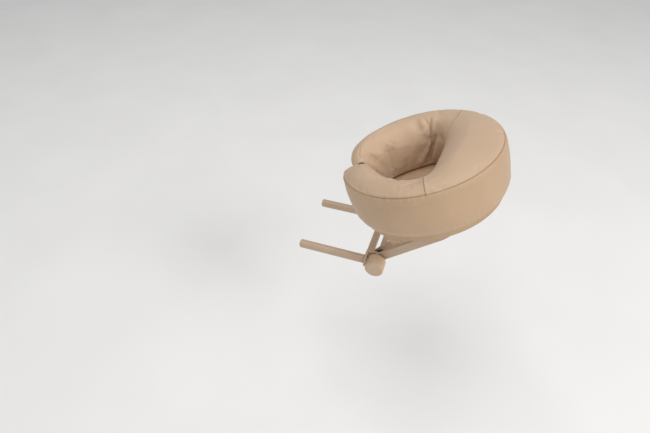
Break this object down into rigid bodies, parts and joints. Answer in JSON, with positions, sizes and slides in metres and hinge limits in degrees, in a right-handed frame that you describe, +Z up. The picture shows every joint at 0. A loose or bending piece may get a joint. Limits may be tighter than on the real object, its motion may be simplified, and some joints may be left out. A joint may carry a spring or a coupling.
{
  "type": "massage table face cradle",
  "caption": "Ring-shaped face cushion on a horseshoe platform, carried by splayed tilting arms with a clamp knob and plug-in posts.",
  "frame": {"origin": "middle of the crossbar's back face, between the two posts", "axes": "+X away from the table, +Y across to the side opposite the clamp knob, +Z up"},
  "size_m": [0.3936, 0.302, 0.3299],
  "materials": {
    "vinyl": "soft semi-matte upholstery vinyl, fine grain",
    "foam": "open-cell polyurethane foam",
    "loop": "brushed loop pile",
    "hook": "nylon hook tape",
    "board": "plywood painted beige",
    "frame_paint": "satin beige powder coat on steel",
    "knob_plastic": "beige moulded plastic",
    "zinc": "zinc-plated steel",
    "brass": "turned brass",
    "dark_nylon": "black nylon"
  },
  "bodies": {
    "base": {"crossbar": "frame_paint", "lug_near": "frame_paint", "lug_far": "frame_paint", "post_near": "frame_paint", "post_far": "frame_paint", "clamp_shaft": "zinc", "cap_nut": "zinc", "washer_near": "zinc", "washer_far": "zinc", "friction_disc_near": "dark_nylon", "friction_disc_far": "dark_nylon"},
    "cradle": {"hook_pad_near": "hook", "hook_pad_far": "hook", "hook_pad_front": "hook", "platform": "board", "cleat_near": "board", "cleat_far": "board", "arm_near": "frame_paint", "arm_far": "frame_paint", "bracket_near": "frame_paint", "bracket_far": "frame_paint", "foot_near": "frame_paint", "foot_far": "frame_paint", "tie_bar": "frame_paint", "spacer_near": "dark_nylon", "spacer_far": "dark_nylon", "tie_bolt_near": "zinc", "tie_bolt_far": "zinc", "front_bolt_near": "zinc", "front_bolt_far": "zinc", "front_nut_near": "zinc", "front_nut_far": "zinc", "cleat_screw_near": "zinc", "cleat_screw_far": "zinc", "bracket_screw_near_1": "zinc", "bracket_screw_near_2": "zinc", "bracket_screw_far_1": "zinc", "bracket_screw_far_2": "zinc", "foot_screw_near": "zinc", "foot_screw_far": "zinc"},
    "cushion": {"foam_core": "foam", "outer_band": "vinyl", "bottom_panel": "vinyl", "forehead_panel": "vinyl", "cheek_panel_near": "vinyl", "cheek_panel_far": "vinyl", "loop_pad_near": "loop", "loop_pad_far": "loop", "loop_pad_front": "loop"},
    "clamp_knob": {"knob": "knob_plastic", "knob_insert": "brass", "knob_cap": "knob_plastic"}
  },
  "joints": [
    {"name": "tilt", "type": "hinge", "parent": "base", "child": "cradle", "pos_m": [0.027, 0, 0], "axis": [0, 1, 0], "range_deg": [-5, 69]},
    {"name": "cushion_lift", "type": "slide", "parent": "cradle", "child": "cushion", "axis": [-0.342, 0, 0.9397], "range_m": [0, 0.12]},
    {"name": "knob_turn", "type": "hinge", "parent": "base", "child": "clamp_knob", "pos_m": [0.027, -0.085, 0], "axis": [0, 1, 0], "range_deg": [0, 720]}
  ]
}
